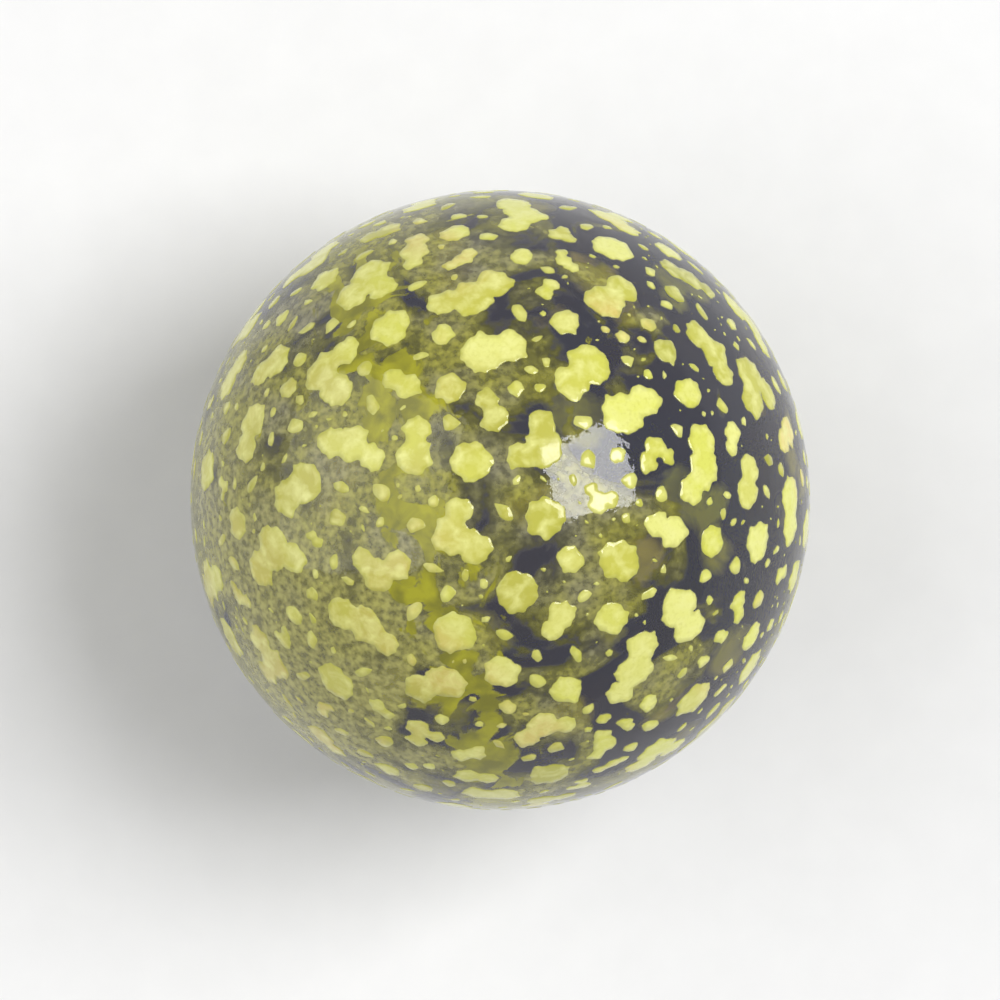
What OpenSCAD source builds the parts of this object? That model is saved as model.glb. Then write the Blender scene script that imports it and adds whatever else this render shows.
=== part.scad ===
// Glass marble: a dark glass ball with chips of yellow glass melted flush into its skin.
// More chips lie sunk below the skin, where they show through the glass as dull patches.
// The origin is the centre of the ball, and +Z is up, out of its most crowded side.

/* [Ball] */
// Diameter of the ball
ball_d = 35; // [25:0.5:60]

/* [Flecks] */
// Width of the first lobe of the widest flecks
lobe_w_max = 3; // [1.8:0.1:3.2]
// Width of the first lobe of the narrowest flecks
lobe_w_min = 1; // [0.8:0.1:1.7]
// Most lobes that melted together into one fleck
lobes_most = 3; // [1:1:3]
// Width of each further lobe, as a share of the one before
lobe_shrink = 0.85; // [0.7:0.05:1]
// Distance of a further lobe's middle from the first one's, as a share of the first one's width
lobe_pitch = 0.55; // [0.3:0.05:0.6]
// How far a lobe's corners may lie inwards, as a share of its half width
lobe_dip = 0.2; // [0:0.05:0.35]
// Corners round one lobe
lobe_corners = 8; // [6:1:12]
// How deep a fleck is let into the ball, measured at its middle
fleck_depth = 0.6; // [0.4:0.05:1]
// Least width of dark glass between two flecks
fleck_gap = 0.15; // [0.15:0.05:0.6]

/* [Sunken flecks] */
// Width of the first lobe of the widest sunken flecks
sunk_w_max = 4.5; // [3:0.1:5]
// Width of the first lobe of the narrowest sunken flecks
sunk_w_min = 2.2; // [1.5:0.1:3]
// Thickness of a sunken fleck
sunk_thick = 0.5; // [0.3:0.05:1]
// Least thickness of dark glass between a sunken fleck and the flecks above it
sunk_cover = 0.3; // [0.2:0.05:2]
// How much further down the deepest sunken flecks lie
sunk_depth_range = 1.2; // [0:0.1:3]

/* [Spread] */
// Throws of a fleck at the ball, of which those that find room stay
throws = 3000; // [200:100:4000]
// Throws of a sunken fleck
sunk_throws = 200; // [20:10:300]
// How strongly narrow flecks outnumber wide ones
narrow_share = 1.6; // [1:0.1:4]
// Lean of the most crowded spot away from straight up, in degrees
crowd_lean = 25; // [0:5:180]
// Compass turn of the most crowded spot, in degrees from +X
crowd_turn = 20; // [0:5:355]
// How fast the crowd thins out away from there
crowd_fade = 2; // [0:0.5:4]
// Share of the throws that may stay on the barest side
bare_share = 0.05; // [0:0.05:1]
// Number that picks one random spread of flecks
spread_seed = 7; // [1:1:999]

/* [Hidden] */
ball_r = ball_d / 2;
// Sides round the ball where it is drawn with flat faces
sphere_fn = 200;
// A cutter starts at the floor of its socket and ends this far above the ball
cutter_spare = 1;
cutter_h = fleck_depth + cutter_spare;
// Turn between the first two side lobes of a fleck, in degrees
bend_least = 70;
bend_most = 180;
// How far a corner may be turned on round its lobe, as a share of the step to the next one
corner_sway = 0.6;

// Each throw has a random number for each of these
dice_for = ["height", "turn", "chance", "spin", "lobes", "bend", "sink"];
all_throws = throws + sunk_throws;
dice = rands(0, 1, all_throws * len(dice_for), spread_seed);
// Keeps the seeds of one spread's lobes clear of the next spread's
seeds_per_spread = 100000;

crowd_axis = direction(cos(crowd_lean), crowd_turn);
// The sphere's surface starts and ends on a half circle round the barest side, from pole to pole.
// No fleck lies across it: this is the normal of the half circle's plane.
seam_normal = cross(direction(0, crowd_turn + 90), crowd_axis);

function die(throw, what) = dice[throw * len(dice_for) + search([what], dice_for)[0]];

function is_sunk(throw) = throw >= throws;

// Unit vector at a height from -1 to 1 and a compass turn
function direction(height, turn) =
    let (across = sqrt(1 - height * height))
    [across * cos(turn), across * sin(turn), height];

// Lean away from +Z and compass turn of a throw's landing spot
function lean(throw) = acos(2 * die(throw, "height") - 1);
function turn(throw) = 360 * die(throw, "turn");
function spot(throw) = direction(cos(lean(throw)), turn(throw));

// Wide flecks are thrown first, so that narrow ones fall into the gaps
function lobe_w(throw) =
    is_sunk(throw) ? sunk_w_max - (sunk_w_max - sunk_w_min) * (throw - throws) / sunk_throws
    : lobe_w_min + (lobe_w_max - lobe_w_min) * pow(1 - throw / throws, narrow_share);

// The lobes of a fleck on a plane square to the radius through its landing spot: [x, y, width]
function lobes(throw) =
    let (
        w = lobe_w(throw),
        count = 1 + floor(lobes_most * die(throw, "lobes")),
        bend = bend_least + (bend_most - bend_least) * die(throw, "bend"),
        spin = 360 * die(throw, "spin")
    )
    [for (k = [0:count - 1])
        let (away = k == 0 ? 0 : lobe_pitch * w, way = spin + (k - 1) * bend)
        [away * cos(way), away * sin(way), w * pow(lobe_shrink, k)]
    ];

// How far a fleck's lobes reach from its middle
function reach(throw) = max([for (lobe = lobes(throw)) norm([lobe[0], lobe[1]]) + lobe[2] / 2]);

// Distance from the ball's centre to the flat floor of a fleck.
// The corners of a sunken one stay below the floors of the flecks in the skin.
function floor_h(throw) =
    is_sunk(throw)
    ? sqrt(pow(ball_r - fleck_depth - sunk_cover, 2) - pow(reach(throw), 2))
        - sunk_depth_range * die(throw, "sink") - sunk_thick
    : ball_r - fleck_depth;

// The floor's lobes in space: [middle, half width]
function discs(throw) =
    let (
        out = spot(throw),
        side = direction(0, turn(throw) + 90),
        down = cross(side, out)
    )
    [for (lobe = lobes(throw))
        [floor_h(throw) * out + lobe[0] * down + lobe[1] * side, lobe[2] / 2]
    ];

function are_clear(discs_a, discs_b) =
    len([for (a = discs_a) for (b = discs_b)
        if (norm(a[0] - b[0]) < a[1] + b[1] + fleck_gap) 1
    ]) == 0;

function is_off_seam(discs) =
    len([for (disc = discs)
        let (room = disc[1] + fleck_gap)
        if (abs(disc[0] * seam_normal) < room && disc[0] * crowd_axis < room) 1
    ]) == 0;

// The chance that a fleck sticks falls from the crowded side to the bare one
function chance(throw) =
    bare_share + (1 - bare_share) * pow((1 + spot(throw) * crowd_axis) / 2, crowd_fade);

function sticks(throw, kept) =
    let (new = discs(throw))
    die(throw, "chance") < chance(throw) && is_off_seam(new)
    && len([for (other = kept) if (!are_clear(new, other[1])) 1]) == 0;

// The throws from one number up to another that stay, each with its discs
function scatter(throw, end, kept = []) =
    throw >= end ? kept
    : scatter(throw + 1, end, sticks(throw, kept) ? concat(kept, [[throw, discs(throw)]]) : kept);

flush = [for (fleck = scatter(0, throws)) fleck[0]];
sunk = [for (fleck = scatter(throws, all_throws)) fleck[0]];

// An uneven polygon, such as a crumb of crushed glass has
module lobe(throw, k, width) {
    luck = rands(0, 1, 2 * lobe_corners, spread_seed * seeds_per_spread + throw * lobes_most + k);
    polygon([for (corner = [0:lobe_corners - 1])
        let (
            way = 360 / lobe_corners * (corner + corner_sway * luck[corner]),
            inwards = lobe_dip * luck[lobe_corners + corner]
        )
        width / 2 * (1 - inwards) * [cos(way), sin(way)]
    ]);
}

module outline(throw) {
    places = lobes(throw);
    for (k = [0:len(places) - 1])
        translate([places[k][0], places[k][1]])
            lobe(throw, k, places[k][2]);
}

// Straight-sided chips, each square to the ball's radius, for the flecks and their sockets alike
module chips(flecks, height) {
    for (throw = flecks)
        rotate([0, lean(throw), turn(throw)])
            translate([0, 0, floor_h(throw)])
                linear_extrude(height)
                    outline(throw);
}

// A whole ball, turned so that its seam lies round the barest side
module ball() {
    rotate([0, crowd_lean, crowd_turn])
        rotate([90, 90, 0])
            sphere(r = ball_r, $fn = sphere_fn);
}

module glass_ball() {
    color([0.07, 0.07, 0.12])
        difference() {
            ball();
            chips(flush, cutter_h);
            chips(sunk, sunk_thick);
        }
}

module yellow_flecks() {
    color([0.86, 0.86, 0.42])
        intersection() {
            ball();
            chips(flush, cutter_h);
        }
}

module sunken_flecks() {
    color([0.6, 0.6, 0.2])
        chips(sunk, sunk_thick);
}

glass_ball();
yellow_flecks();
sunken_flecks();
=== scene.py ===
"""Looks of a speckled glass marble: a dark clear ball with chips of yellow glass in its skin.

Lengths are in millimetres until a mesh is made, and MM turns them into metres.
"""

import math
import random

import bmesh
import bpy
import numpy as np
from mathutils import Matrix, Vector, noise
from mathutils.geometry import delaunay_2d_cdt
from mathutils.kdtree import KDTree


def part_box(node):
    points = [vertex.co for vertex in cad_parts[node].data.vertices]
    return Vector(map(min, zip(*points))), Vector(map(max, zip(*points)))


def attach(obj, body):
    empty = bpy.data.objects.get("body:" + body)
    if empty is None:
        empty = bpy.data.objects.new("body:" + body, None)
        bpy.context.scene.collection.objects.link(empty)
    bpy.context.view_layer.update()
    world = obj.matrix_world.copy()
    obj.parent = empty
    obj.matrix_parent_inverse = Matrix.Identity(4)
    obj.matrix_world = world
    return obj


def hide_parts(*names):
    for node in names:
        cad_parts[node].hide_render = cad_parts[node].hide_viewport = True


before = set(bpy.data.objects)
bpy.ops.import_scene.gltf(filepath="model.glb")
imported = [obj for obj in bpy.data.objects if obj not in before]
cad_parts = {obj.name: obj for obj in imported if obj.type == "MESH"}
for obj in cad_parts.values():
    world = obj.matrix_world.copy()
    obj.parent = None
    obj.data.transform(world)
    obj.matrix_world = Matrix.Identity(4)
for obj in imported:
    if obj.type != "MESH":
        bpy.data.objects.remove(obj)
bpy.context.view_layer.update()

MM = 0.001
SEED = 11

# How far a chip's top stands over the glass, so that the two skins never touch
CHIP_PROUD = 0.012

# The ball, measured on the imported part, with room inside its box for the chips' tops
ball_low, ball_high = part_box("glass_ball")
BALL_R = min(ball_high - ball_low) / 2 / MM - CHIP_PROUD
# Rolling leaves the skin slightly wavy: how far it dips, and the length of a wave
WAVE_DIP = 0.03
WAVE_LENGTH = 7.0
BALL_SUBDIVISIONS = 7

# Side of the ball that holds most flecks, as in the part: lean from +Z and compass turn, in degrees
CROWD_LEAN = 25
CROWD_TURN = 20
# How fast fine flecks thin out away from there, and the share that stays on the barest side
CROWD_FADE = 2
BARE_SHARE = 0.06
# Side of the ball under whose skin most yellow dust hangs, and where a haze is painted in that stands
# in for the side lamp's reflection
DUST_AND_REFLECTION_LEAN = 55
DUST_AND_REFLECTION_TURN = 185
# Side of the ball where the glass turns to ochre
OCHRE_LEAN = 65
OCHRE_TURN = 222
# Compass turn of the line along which a golden vein's place is measured from the centre
VEIN_TURN = 15

# Depth of a chip in the skin, and thickness of a sunken one, as in the part
CHIP_DEPTH = 0.6
SUNK_THICK = 0.5
# How far in from its edge a chip's top is full height, the most that this is as a share of the
# chip's half width, and how far down the edge itself lies
RIM_IN = 0.06
RIM_IN_MOST_SHARE = 0.3
RIM_DOWN = 0.04
# How far in from its edge a chip is at its full depth, as a share of its half width
UNDERSIDE_SHARE = 0.6
SUNK_SWELL_SHARE = 0.5
# Lumps on a chip's underside, and on a sunken chip's top: how far they change its thickness,
# as a share of it, and their length
LUMP_SHARE = 0.3
LUMP_LENGTH = 0.8
SUNK_LUMP_SHARE = 0.2
SUNK_LUMP_LENGTH = 1.5
# Keeps the lumps of chips of different tones apart in the noise
LUMP_SEEDS = 50
# Width of the darker, thinner band round a chip, and of the faded one round a sunken chip
BAND = 0.2
SUNK_BAND = 0.9

# How ragged the outlines are: the steps along them, how often their corners are softened,
# the size and length of the unevenness, and how far apart two chips' seeds for it are
CHIP_STEP = 0.1
CHIP_SOFTENING = 1
CHIP_ROUGH = 0.17
CHIP_ROUGH_LENGTH = 0.45
CHIP_SEED_STEP = 3.7
SUNK_STEP = 0.25
SUNK_SOFTENING = 3
SUNK_ROUGH = 0.2
SUNK_ROUGH_LENGTH = 1.1
SUNK_SEED_STEP = 2.9
LEAST_OUTLINE_POINTS = 10
# Spacing of the points inside a chip's outline
CHIP_GRID = 0.27
SUNK_GRID = 0.4
# Rows of a grid of even triangles lie this much closer than the points in a row
GRID_ROW_SHARE = 0.87
# Room between the points inside an outline and its rim, as a share of their spacing
GRID_ROOM_SHARE = 0.5
# For the triangulation: keep only what is inside the outline, and join points closer than this
INSIDE_ONLY = 1
WELD_LENGTH = 1e-6
# A fleck's outer faces are those whose normals lean less than about 45 degrees from the radius
OUTER_FACE_COSINE = 0.7

# Fine flecks between the part's own: how many are tried, their widths, how strongly narrow ones
# outnumber wide ones, and how far the longest are drawn out
FINE_TRIES = 20000
FINE_W_MIN = 0.2
FINE_W_MAX = 1.5
FINE_FALL = 1.3
FINE_STRETCH = 1.45
# Least glass between two of them, and between one and a fleck of the part
FINE_GAP = 0.05
FINE_GAP_TO_CHIPS = 0.15
# Their depth as a share of their width, and the least depth
FINE_DEPTH_SHARE = 0.35
FINE_DEPTH_MIN = 0.08
# Their corners: how many, how far one is turned on towards the next, and the least reach of one
CRUMB_CORNERS = (5, 8)
CRUMB_SWAY = 0.5
CRUMB_LEAST_REACH = 0.65
# Steps along a fine fleck's outline and spacing of its inner points: how many go into its width,
# and the shortest
FINE_STEPS = 9
FINE_STEP_MIN = 0.07
FINE_GRID_STEPS = 3.5
FINE_GRID_MIN = 0.12
FINE_SOFTENING = 1
# Narrower ones than this are dust, which lies in drifts: the chance that dust stays there on the
# average, how strongly that rises and falls, how many waves it has along the ball's radius,
# and where in the noise
DUST_W = 0.6
DRIFT_SHARE = 0.25
DRIFT_STRENGTH = 1.6
DRIFT_WAVES = 2.6
DRIFT_PLACE = Vector((7, 3, 1))


def unit(v):
    v = np.asarray(v, float)
    return v / np.linalg.norm(v)


def direction(lean, turn):
    """Unit vector that leans from +Z towards a compass turn, both in degrees."""
    a, b = math.radians(lean), math.radians(turn)
    return np.array([math.sin(a) * math.cos(b), math.sin(a) * math.sin(b), math.cos(a)])


CROWD_AXIS = direction(CROWD_LEAN, CROWD_TURN)
DUST_AND_REFLECTION_AXIS = direction(DUST_AND_REFLECTION_LEAN, DUST_AND_REFLECTION_TURN)
OCHRE_AXIS = direction(OCHRE_LEAN, OCHRE_TURN)
VEIN_AXIS = direction(90, VEIN_TURN)


def crowd(out):
    """Chance that a fleck sticks where the ball faces out."""
    return BARE_SHARE + (1 - BARE_SHARE) * ((1 + float(out @ CROWD_AXIS)) / 2) ** CROWD_FADE


def skin_radius(out):
    """Radius of the slightly wavy skin where the ball faces out."""
    wave = noise.noise(Vector(out) * (BALL_R / WAVE_LENGTH))
    return BALL_R - WAVE_DIP * (1 - wave) / 2


class Plane:
    """A flat map of the ball's skin round one point, on which lengths from the point are true."""

    def __init__(self, out):
        self.out = unit(out)
        helper = np.array([0, 0, 1.0]) if abs(self.out[2]) < 0.9 else np.array([1.0, 0, 0])
        self.right = unit(np.cross(helper, self.out))
        self.up = np.cross(self.out, self.right)

    def flatten(self, points):
        p = points / np.linalg.norm(points, axis=1)[:, None]
        angle = np.arccos(np.clip(p @ self.out, -1, 1))
        xy = np.column_stack([p @ self.right, p @ self.up])
        size = np.linalg.norm(xy, axis=1)
        size[size == 0] = 1
        return xy / size[:, None] * (angle * BALL_R)[:, None]

    def lift(self, xy, heights):
        """Points over the map at the given heights above the skin."""
        r = np.linalg.norm(xy, axis=1)
        safe = np.where(r == 0, 1, r)
        way = (xy[:, :1] * self.right + xy[:, 1:] * self.up) / safe[:, None]
        angle = r / BALL_R
        out = np.cos(angle)[:, None] * self.out + np.sin(angle)[:, None] * way
        radius = np.array([skin_radius(o) for o in out]) + heights
        return out * radius[:, None]


def resample(loop, step):
    """A closed outline's points, spread evenly along it."""
    closed = np.vstack([loop, loop[:1]])
    lengths = np.linalg.norm(np.diff(closed, axis=0), axis=1)
    along = np.concatenate([[0], np.cumsum(lengths)])
    count = max(LEAST_OUTLINE_POINTS, round(along[-1] / step))
    at = np.linspace(0, along[-1], count, endpoint=False)
    return np.column_stack([np.interp(at, along, closed[:, k]) for k in (0, 1)])


def soften(loop, passes):
    """Rounds an outline's corners by moving each point towards its neighbours."""
    for _ in range(passes):
        loop = 0.5 * loop + 0.25 * (np.roll(loop, 1, axis=0) + np.roll(loop, -1, axis=0))
    return loop


def outward(loop):
    """Unit normals of a counter-clockwise outline."""
    along = np.roll(loop, -1, axis=0) - np.roll(loop, 1, axis=0)
    normal = np.column_stack([along[:, 1], -along[:, 0]])
    return normal / np.maximum(np.linalg.norm(normal, axis=1), 1e-9)[:, None]


def lumps_at(flat, length, seed):
    """Smooth noise, from -1 to 1, at points on the map."""
    return np.array([noise.noise(Vector((x / length, y / length, seed))) for x, y in flat])


def roughen(loop, amount, length, seed):
    """Moves an outline in and out by smooth noise."""
    return loop + outward(loop) * (amount * lumps_at(loop, length, seed))[:, None]


def area(loop):
    x, y = loop[:, 0], loop[:, 1]
    return float(x @ np.roll(y, -1) - y @ np.roll(x, -1)) / 2


def inside(points, loop):
    """True for each point that lies inside an outline."""
    hit = np.zeros(len(points), bool)
    for (x1, y1), (x2, y2) in zip(loop, np.roll(loop, -1, axis=0)):
        if y1 == y2:
            continue
        spans = (y1 > points[:, 1]) != (y2 > points[:, 1])
        hit ^= spans & (points[:, 0] < (x2 - x1) * (points[:, 1] - y1) / (y2 - y1) + x1)
    return hit


def edge_distance(points, loop):
    return np.min(np.linalg.norm(points[:, None] - loop[None], axis=2), axis=1)


class Mesh:
    """Collects chips into one mesh, with a tone for each chip and a rim value for each point."""

    def __init__(self):
        self.points, self.faces, self.tones, self.rims = [], [], [], []

    def add(self, points, faces, tone, rim):
        base = len(self.points)
        self.points += [tuple(p * MM) for p in points]
        self.faces += [tuple(base + i for i in f) for f in faces]
        self.tones += [tone] * len(points)
        self.rims += list(rim)

    def build(self, name, material):
        mesh = bpy.data.meshes.new(name)
        mesh.from_pydata(self.points, [], self.faces)
        for label, values in (("tone", self.tones), ("rim", self.rims)):
            layer = mesh.attributes.new(label, "FLOAT", "POINT")
            layer.data.foreach_set("value", np.array(values, np.float32))
        mesh.materials.append(material)
        mesh.shade_smooth()
        return place(name, mesh)


def place(name, mesh):
    piece = bpy.data.objects.new(name, mesh)
    bpy.context.scene.collection.objects.link(piece)
    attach(piece, "root")
    return piece


def flush_form(depth):
    """A chip in the skin: a flush top, a rounded edge and a lumpy underside."""
    def form(flat, from_edge, half, inset, seed):
        share = np.clip(from_edge / inset, 0, 1)
        top = -RIM_DOWN + (RIM_DOWN + CHIP_PROUD) * np.sin(share * math.pi / 2)
        swell = np.sqrt(np.clip(from_edge / (UNDERSIDE_SHARE * half), 0, 1))
        lumps = 1 - LUMP_SHARE / 2 + LUMP_SHARE * lumps_at(flat, LUMP_LENGTH, seed)
        return top, -RIM_DOWN - (depth - RIM_DOWN) * swell * lumps
    return form


def sunk_form(top_height):
    """A sunken chip: flat, and thin at its edge. top_height is its top's distance from the centre."""
    def form(flat, from_edge, half, inset, seed):
        level = top_height / np.cos(np.linalg.norm(flat, axis=1) / BALL_R) - BALL_R
        swell = np.sqrt(np.clip(from_edge / (SUNK_SWELL_SHARE * half), 0, 1))
        middle = level - SUNK_THICK / 2
        lumps = 1 - SUNK_LUMP_SHARE / 2 + SUNK_LUMP_SHARE * lumps_at(flat, SUNK_LUMP_LENGTH, seed)
        return middle + SUNK_THICK / 2 * swell * lumps, middle - SUNK_THICK / 2 * swell
    return form


def add_chip(into, plane, loop, form, band, tone, grid):
    """One closed chip over an outline on the map. Gives the points of its top."""
    if area(loop) < 0:
        loop = loop[::-1]
    half = math.sqrt(abs(area(loop)) / math.pi)
    inset = min(RIM_IN, RIM_IN_MOST_SHARE * half)
    ring = loop - outward(loop) * inset
    low, high = loop.min(axis=0), loop.max(axis=0)
    row = grid * GRID_ROW_SHARE
    xs, ys = np.meshgrid(np.arange(low[0], high[0], grid), np.arange(low[1], high[1], row))
    xs[1::2] += grid / 2
    spots = np.column_stack([xs.ravel(), ys.ravel()])
    spots = spots[inside(spots, loop)]
    if len(spots):
        spots = spots[edge_distance(spots, loop) > inset + GRID_ROOM_SHARE * grid]
    flat = np.vstack([loop, ring, spots])
    n = len(loop)
    found, _, faces, origins, _, _ = delaunay_2d_cdt(
        [Vector(p) for p in flat], [], [list(range(n))], INSIDE_ONLY, WELD_LENGTH
    )
    flat = np.array([tuple(p) for p in found])
    is_edge = np.array([any(o < n for o in group) for group in origins])
    from_edge = edge_distance(flat, loop)
    from_edge[is_edge] = 0
    top, under = form(flat, from_edge, half, inset, tone * LUMP_SEEDS)
    upper = plane.lift(flat, top)
    inner = np.flatnonzero(~is_edge)
    below = np.arange(len(flat))
    below[inner] = len(flat) + np.arange(len(inner))
    rim = np.clip(from_edge / band, 0, 1)
    turned = [f[::-1] for f in faces]
    all_faces = [tuple(f) for f in faces] + [tuple(int(below[i]) for i in f) for f in turned]
    points = np.vstack([upper, plane.lift(flat, under)[inner]])
    into.add(points, all_faces, tone, np.concatenate([rim, rim[inner]]))
    return upper


def top_outlines(node):
    """The outline of the outer face of each of a node's flecks."""
    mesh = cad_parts[node].data
    mesh.calc_loop_triangles()
    points = np.array([v.co for v in mesh.vertices], float).reshape(-1, 3) / MM
    tris = np.array([t.vertices for t in mesh.loop_triangles], int)
    corners = points[tris]
    normals = np.cross(corners[:, 1] - corners[:, 0], corners[:, 2] - corners[:, 0])
    middles = corners.mean(axis=1)
    sizes = np.linalg.norm(normals, axis=1) * np.linalg.norm(middles, axis=1)
    is_outer = np.sum(normals * middles, axis=1) > OUTER_FACE_COSINE * sizes
    halves = set()
    for a, b, c in tris[is_outer]:
        halves |= {(a, b), (b, c), (c, a)}
    following = {a: b for a, b in sorted(halves) if (b, a) not in halves}
    loops = []
    while following:
        loop = [min(following)]
        while loop[-1] in following:
            loop.append(following.pop(loop[-1]))
        loops.append(points[loop[:-1]])
    return loops


def make_chips(material):
    """The part's own flecks, with ragged, fire-polished edges. Gives the points that they cover."""
    chips = Mesh()
    covered = []
    rng = random.Random(SEED)
    for k, loop in enumerate(top_outlines("yellow_flecks")):
        plane = Plane(loop.mean(axis=0))
        flat = soften(resample(plane.flatten(loop), CHIP_STEP), CHIP_SOFTENING)
        flat = roughen(flat, CHIP_ROUGH, CHIP_ROUGH_LENGTH, k * CHIP_SEED_STEP)
        form = flush_form(CHIP_DEPTH)
        covered.append(add_chip(chips, plane, flat, form, BAND, rng.random(), CHIP_GRID))
    piece = chips.build("yellow_chips", material)
    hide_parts("yellow_flecks")
    return np.vstack(covered)


def make_sunken_chips(material):
    """The part's own sunken flecks, thinned out towards their edges."""
    chips = Mesh()
    rng = random.Random(SEED + 2)
    for k, loop in enumerate(top_outlines("sunken_flecks")):
        plane = Plane(loop.mean(axis=0))
        flat = soften(resample(plane.flatten(loop), SUNK_STEP), SUNK_SOFTENING)
        flat = roughen(flat, SUNK_ROUGH, SUNK_ROUGH_LENGTH, k * SUNK_SEED_STEP)
        form = sunk_form(float(np.mean(loop @ plane.out)))
        add_chip(chips, plane, flat, form, SUNK_BAND, rng.random(), SUNK_GRID)
    piece = chips.build("sunken_chips", material)
    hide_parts("sunken_flecks")


def crumb(rng, width, stretch):
    """An uneven outline like the part's own flecks have, longer one way than the other."""
    corners = rng.randint(*CRUMB_CORNERS)
    spin = rng.uniform(0, 2 * math.pi)
    turn = [2 * math.pi * (k + CRUMB_SWAY * rng.random()) / corners for k in range(corners)]
    reach = [width / 2 * rng.uniform(CRUMB_LEAST_REACH, 1) for _ in range(corners)]
    loop = np.array([
        (r * math.cos(t) * stretch, r * math.sin(t) / stretch) for r, t in zip(reach, turn)
    ])
    c, s = math.cos(spin), math.sin(spin)
    return loop @ np.array([[c, -s], [s, c]])


def random_out(rng):
    height, turn = rng.uniform(-1, 1), rng.uniform(0, 2 * math.pi)
    across = math.sqrt(1 - height * height)
    return np.array([across * math.cos(turn), across * math.sin(turn), height])


def make_fine_flecks(material, covered):
    """Small flecks and dust in the gaps between the part's own."""
    tree = KDTree(len(covered))
    for i, p in enumerate(covered):
        tree.insert(p, i)
    tree.balance()
    rng = random.Random(SEED + 1)
    flecks = Mesh()
    kept = []
    for k in range(FINE_TRIES):
        out = random_out(rng)
        width = FINE_W_MIN + (FINE_W_MAX - FINE_W_MIN) * (1 - k / FINE_TRIES) ** FINE_FALL
        stretch = rng.uniform(1, FINE_STRETCH)
        tone, luck = rng.random(), rng.random()
        drift = DRIFT_SHARE + DRIFT_STRENGTH * noise.noise(Vector(out) * DRIFT_WAVES + DRIFT_PLACE)
        if luck > crowd(out) * (1 if width > DUST_W else drift):
            continue
        middle = out * BALL_R
        reach = width / 2 * stretch
        if tree.find(middle)[2] < reach + FINE_GAP_TO_CHIPS:
            continue
        if any(np.dot(middle - m, middle - m) < (reach + r + FINE_GAP) ** 2 for m, r in kept):
            continue
        kept.append((middle, reach))
        step = max(FINE_STEP_MIN, width / FINE_STEPS)
        loop = soften(resample(crumb(rng, width, stretch), step), FINE_SOFTENING)
        form = flush_form(max(FINE_DEPTH_MIN, FINE_DEPTH_SHARE * width))
        grid = max(FINE_GRID_MIN, width / FINE_GRID_STEPS)
        add_chip(flecks, Plane(out), loop, form, BAND, tone, grid)
    piece = flecks.build("fine_flecks", material)
    print("fine flecks:", len(kept))


def make_body(material):
    """The dark ball, with the slight waves that rolling leaves in its skin."""
    ball = bmesh.new()
    bmesh.ops.create_icosphere(ball, subdivisions=BALL_SUBDIVISIONS, radius=1)
    for v in ball.verts:
        out = v.co.normalized()
        v.co = out * skin_radius(out) * MM
    mesh = bpy.data.meshes.new("glass_body")
    ball.to_mesh(mesh)
    ball.free()
    mesh.materials.append(material)
    mesh.shade_smooth()
    piece = place("glass_body", mesh)
    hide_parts("glass_ball")


# Sockets of a range node that hold the ends of both ranges
RANGE_ENDS = slice(1, 5)
# Sockets of a mix node that hold the share and the two colours, and the one that gives the result
MIX_INPUTS = (0, 6, 7)
MIX_RESULT = 2


class Nodes:
    """Short ways to add and join the nodes of one tree."""

    def __init__(self, tree, output):
        self.tree = tree
        self.tree.nodes.clear()
        self.output = self.add(output)

    def add(self, kind, **values):
        """A new node. Each value sets its property of that name, or else its input."""
        node = self.tree.nodes.new(kind)
        for key, value in values.items():
            if hasattr(node, key):
                setattr(node, key, value)
            else:
                node.inputs[key.replace("_", " ")].default_value = value
        return node

    def join(self, a, b):
        self.tree.links.new(a, b)

    def noise(self, length_mm, detail, distortion=0.0):
        """Smooth noise whose waves have this length on the piece."""
        where = self.add("ShaderNodeTexCoord")
        scale = 1 / (length_mm * MM)
        made = self.add("ShaderNodeTexNoise", Scale=scale, Detail=detail, Distortion=distortion)
        self.join(where.outputs["Object"], made.inputs["Vector"])
        return made.outputs["Fac"]

    def spread(self, value, low, high, to_low, to_high):
        """Takes low to to_low and high to to_high, evenly between and no further."""
        node = self.add("ShaderNodeMapRange")
        for socket, number in zip(list(node.inputs)[RANGE_ENDS], (low, high, to_low, to_high)):
            socket.default_value = number
        self.join(value, node.inputs["Value"])
        return node.outputs["Result"]

    def maths(self, operation, a, b):
        node = self.add("ShaderNodeMath", operation=operation)
        for socket, source in zip(node.inputs, (a, b)):
            if isinstance(source, (float, int)):
                socket.default_value = source
            else:
                self.join(source, socket)
        return node.outputs[0]

    def attribute(self, name):
        return self.add("ShaderNodeAttribute", attribute_name=name).outputs["Fac"]

    def ramp(self, value, stops):
        node = self.add("ShaderNodeValToRGB")
        elements = node.color_ramp.elements
        while len(elements) < len(stops):
            elements.new(0.5)
        for element, (at, colour) in zip(elements, stops):
            element.position = at
            element.color = (*colour, 1)
        self.join(value, node.inputs["Fac"])
        return node.outputs["Color"]

    def mix(self, share, a, b):
        node = self.add("ShaderNodeMix", data_type="RGBA")
        for number, source in zip(MIX_INPUTS, (share, a, b)):
            if isinstance(source, tuple):
                node.inputs[number].default_value = (*source, 1)
            else:
                self.join(source, node.inputs[number])
        return node.outputs[MIX_RESULT]

    def bump(self, height, height_mm, strength):
        node = self.add("ShaderNodeBump", Strength=strength, Distance=height_mm * MM)
        self.join(height, node.inputs["Height"])
        return node.outputs["Normal"]

    def towards(self, axis, low, high, to_low, to_high):
        """A value that changes from one side of the ball to the other, from -1 to 1 along an axis."""
        where = self.add("ShaderNodeTexCoord")
        along = self.add("ShaderNodeVectorMath", operation="DOT_PRODUCT")
        along.inputs[1].default_value = tuple(axis / (BALL_R * MM))
        self.join(where.outputs["Object"], along.inputs[0])
        return self.spread(along.outputs["Value"], low, high, to_low, to_high)


def new_material(name):
    material = bpy.data.materials.new(name)
    material.use_nodes = True
    return material, Nodes(material.node_tree, "ShaderNodeOutputMaterial")


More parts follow.
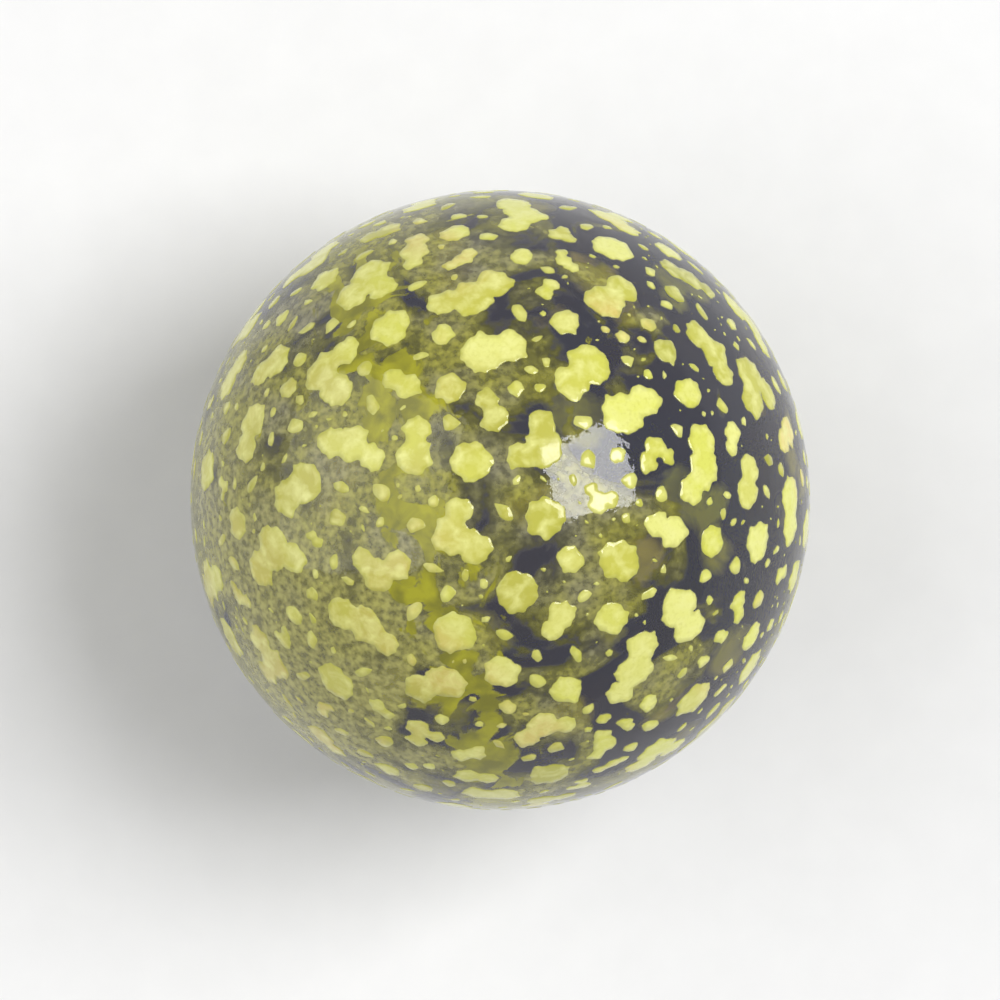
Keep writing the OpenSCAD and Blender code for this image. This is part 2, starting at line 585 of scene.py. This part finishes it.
def yellow_glass():
    """Opaque lemon yellow glass, paler or deeper from chip to chip, and thin at its edges."""
    material, n = new_material("yellow_glass")
    body = n.ramp(n.attribute("tone"), [
        (0.0, (0.76, 0.78, 0.16)),
        (0.3, (0.62, 0.63, 0.08)),
        (0.55, (0.80, 0.81, 0.24)),
        (0.8, (0.56, 0.55, 0.07)),
        (1.0, (0.40, 0.40, 0.04)),
    ])
    ochre_side = n.towards(OCHRE_AXIS, 0.5, 0.95, 0, 0.1)
    ochre = n.spread(n.maths("ADD", n.noise(8, 1), ochre_side), 0.6, 0.72, 0, 0.7)
    warm = n.mix(ochre, body, (0.78, 0.58, 0.20))
    # Partly dust, partly painted reflection haze: chips are painted a duller, darker gold on the side
    # that faces the side lamp
    dust_and_reflection_side = n.towards(DUST_AND_REFLECTION_AXIS, -0.1, 0.9, 0, 1)
    dull = n.maths("MULTIPLY", dust_and_reflection_side, n.spread(n.noise(4, 2), 0.35, 0.65, 0.3, 0.9))
    golden = n.mix(dull, warm, (0.50, 0.46, 0.09))
    mottle = n.spread(n.noise(0.9, 4, 0.4), 0.4, 0.75, 0, 0.9)
    cloudy = n.mix(mottle, golden, (0.80, 0.80, 0.29))
    grain = n.spread(n.noise(0.22, 3), 0.5, 0.8, 0, 0.35)
    grainy = n.mix(grain, cloudy, (0.50, 0.49, 0.05))
    thin = n.spread(n.attribute("rim"), 0, 1, 0.7, 0)
    shader = n.add("ShaderNodeBsdfPrincipled", IOR=1.5)
    n.join(n.mix(thin, grainy, (0.36, 0.36, 0.03)), shader.inputs["Base Color"])
    n.join(n.spread(n.noise(2.5, 3), 0.3, 0.7, 0.03, 0.12), shader.inputs["Roughness"])
    n.join(n.bump(n.noise(0.5, 3), 0.02, 0.25), shader.inputs["Normal"])
    n.join(shader.outputs[0], n.output.inputs["Surface"])
    return material


def sunk_yellow_glass():
    """The same glass with dark glass over it: golden olive, lost in the dark at its edges."""
    material, n = new_material("sunk_yellow_glass")
    gold = n.ramp(n.attribute("tone"), [
        (0.0, (0.78, 0.75, 0.03)),
        (0.5, (0.66, 0.63, 0.02)),
        (0.8, (0.70, 0.56, 0.04)),
        (1.0, (0.50, 0.50, 0.03)),
    ])
    cloud = n.spread(n.noise(1.6, 4, 0.6), 0.3, 0.7, -0.45, 0.45)
    seen = n.spread(n.maths("ADD", n.attribute("rim"), cloud), 0.1, 0.9, 0, 1)
    shader = n.add("ShaderNodeBsdfPrincipled", Roughness=0.7, IOR=1.05)
    n.join(n.mix(seen, (0.012, 0.012, 0.02), gold), shader.inputs["Base Color"])
    n.join(shader.outputs[0], n.output.inputs["Surface"])
    return material


def dust_and_reflection_share(n):
    """How much yellow dust hangs under the skin, with a painted haze that stands in for the side
    lamp's reflection: drifts of grains, more of them on the side that faces the side lamp.
    """
    drift = n.maths("ADD", n.noise(6.5, 4, 1.0), n.towards(DUST_AND_REFLECTION_AXIS, -0.3, 0.8, -0.13, 0.15))
    patches = n.spread(drift, 0.47, 0.60, 0, 1)
    grains = n.spread(n.noise(0.4, 3), 0.35, 0.65, 0.35, 1)
    return n.maths("MULTIPLY", patches, grains)


def vein_share(n):
    """Where the golden vein runs: a ragged band across the ball, beside its middle."""
    left_edge = n.towards(VEIN_AXIS, -0.5, -0.3, 0, 1)
    right_edge = n.towards(VEIN_AXIS, -0.22, -0.02, 1, 0)
    band = n.spread(n.maths("MULTIPLY", left_edge, right_edge), 0, 1, -0.2, 0.07)
    return n.spread(n.maths("ADD", n.noise(4, 4, 2.0), band), 0.5, 0.56, 0, 1)


def dark_glass():
    """Clear glass of a dark navy to violet, with drifts of yellow dust under its skin that also carry
    a painted reflection haze on the side lamp's side.
    """
    material, n = new_material("dark_glass")
    vein = vein_share(n)
    # Painted reflection haze: the dust drifts, thickest on the side that faces the side lamp, also
    # stand in for that lamp's reflection; they tint the glass olive and lower its transmission
    share = n.maths("MAXIMUM", dust_and_reflection_share(n), vein)
    streaks = n.spread(n.noise(9, 3, 1.5), 0.35, 0.65, 0, 1)
    clear = n.mix(streaks, (0.58, 0.60, 0.88), (0.66, 0.60, 0.80))
    olive = n.mix(n.spread(n.noise(3, 2), 0.42, 0.72, 0, 1), (0.44, 0.42, 0.06), (0.36, 0.34, 0.20))
    ochre = n.mix(n.towards(OCHRE_AXIS, 0.5, 0.95, 0, 0.8), olive, (0.58, 0.55, 0.16))
    cloud = n.spread(n.noise(1.4, 4, 0.5), 0.35, 0.65, 0, 1)
    gold = n.mix(cloud, (0.24, 0.23, 0.01), (0.48, 0.46, 0.01))
    tint = n.mix(vein, ochre, gold)
    shader = n.add("ShaderNodeBsdfPrincipled", IOR=1.5)
    n.join(n.mix(n.spread(share, 0, 0.15, 0, 1), clear, tint), shader.inputs["Base Color"])
    n.join(n.spread(share, 0, 1, 0.96, 0.25), shader.inputs["Transmission Weight"])
    n.join(n.spread(n.noise(4, 4), 0.4, 0.75, 0.0, 0.035), shader.inputs["Roughness"])
    ripples = n.maths("ADD", n.noise(3.0, 3), n.spread(n.noise(1.2, 3), 0, 1, 0, 1.6))
    n.join(n.bump(ripples, 0.02, 1.0), shader.inputs["Normal"])
    inside_glass = n.add("ShaderNodeVolumeAbsorption", Color=(0.10, 0.10, 0.36, 1), Density=110)
    n.join(shader.outputs[0], n.output.inputs["Surface"])
    n.join(inside_glass.outputs[0], n.output.inputs["Volume"])
    return material


# The stage: a pale floor under the ball, and white all round
FLOOR_SIZE = 4.0
FLOOR_SIDES = 96
FLOOR_FADE_START = 0.12
FLOOR_FADE_END = 0.5


def seen_plainly(n):
    """1 for rays from the camera, off gloss and through glass, and 0 for light."""
    path = n.add("ShaderNodeLightPath")
    mirrored = n.maths("MAXIMUM", path.outputs["Is Glossy Ray"], path.outputs["Is Transmission Ray"])
    return n.maths("MAXIMUM", path.outputs["Is Camera Ray"], mirrored)


def make_floor():
    """Pale floor that keeps the ball's shadow and turns plain white further out."""
    material, n = new_material("floor_paint")
    paint = n.add("ShaderNodeBsdfPrincipled", Roughness=0.9, IOR=1.1)
    grain = n.spread(n.noise(3, 3), 0.3, 0.7, 0, 1)
    n.join(n.mix(grain, (0.84, 0.84, 0.84), (0.86, 0.86, 0.86)), paint.inputs["Base Color"])
    white = n.add("ShaderNodeEmission")
    where = n.add("ShaderNodeTexCoord")
    away = n.add("ShaderNodeVectorMath", operation="LENGTH")
    n.join(where.outputs["Object"], away.inputs[0])
    far = n.spread(away.outputs["Value"], FLOOR_FADE_START, FLOOR_FADE_END, 0, 1)
    both = n.add("ShaderNodeMixShader")
    n.join(n.maths("MULTIPLY", far, seen_plainly(n)), both.inputs[0])
    n.join(paint.outputs[0], both.inputs[1])
    n.join(white.outputs[0], both.inputs[2])
    n.join(both.outputs[0], n.output.inputs["Surface"])
    disc = bmesh.new()
    bmesh.ops.create_circle(disc, cap_ends=True, segments=FLOOR_SIDES, radius=FLOOR_SIZE / 2)
    mesh = bpy.data.meshes.new("floor")
    disc.to_mesh(mesh)
    disc.free()
    mesh.materials.append(material)
    floor = bpy.data.objects.new("floor", mesh)
    floor.location = (0, 0, ball_low.z)
    bpy.context.scene.collection.objects.link(floor)


# Lamps, as seen from the ball: lean from straight up and compass turn in degrees,
# distance and sides in metres, and radiance
KEY_LAMP = (35, 17, 1.2, (0.62, 0.66), 9.0)
SIDE_LAMP = (54, 170, 1.3, (1.6, 1.8), 1.1)
WORLD_LIGHT = 0.42


def make_lamp(name, lean, turn, distance, sides, radiance):
    lamp = bpy.data.lights.new(name, "AREA")
    lamp.shape = "RECTANGLE"
    lamp.size, lamp.size_y = sides
    lamp.energy = radiance * math.pi * sides[0] * sides[1]
    item = bpy.data.objects.new(name, lamp)
    out = Vector(direction(lean, turn))
    item.location = out * distance
    item.rotation_euler = out.to_track_quat("Z", "Y").to_euler()
    bpy.context.scene.collection.objects.link(item)


def make_world():
    world = bpy.data.worlds.new("studio")
    bpy.context.scene.world = world
    world.use_nodes = True
    n = Nodes(world.node_tree, "ShaderNodeOutputWorld")
    background = n.add("ShaderNodeBackground")
    n.join(n.spread(seen_plainly(n), 0, 1, WORLD_LIGHT, 1), background.inputs["Strength"])
    n.join(background.outputs[0], n.output.inputs["Surface"])


# The camera looks straight down, as the photograph does, from far off with a long lens
CAMERA_AWAY = 0.6
BALL_SHARE_OF_FRAME = 0.62
SENSOR = 36


def make_camera():
    camera = bpy.data.cameras.new("camera")
    camera.sensor_width = SENSOR
    seen_width = 2 * BALL_R * MM / BALL_SHARE_OF_FRAME
    camera.lens = SENSOR * CAMERA_AWAY / seen_width
    camera.clip_start = 0.01
    item = bpy.data.objects.new("camera", camera)
    item.location = (0, 0, CAMERA_AWAY)
    bpy.context.scene.collection.objects.link(item)
    bpy.context.scene.camera = item


bpy.context.scene.view_settings.view_transform = "Standard"
make_camera()
make_world()
make_lamp("key_lamp", *KEY_LAMP)
make_lamp("side_lamp", *SIDE_LAMP)
make_floor()
make_body(dark_glass())
chip_glass = yellow_glass()
chip_points = make_chips(chip_glass)
make_fine_flecks(chip_glass, chip_points)
make_sunken_chips(sunk_yellow_glass())

bpy.context.view_layer.update()
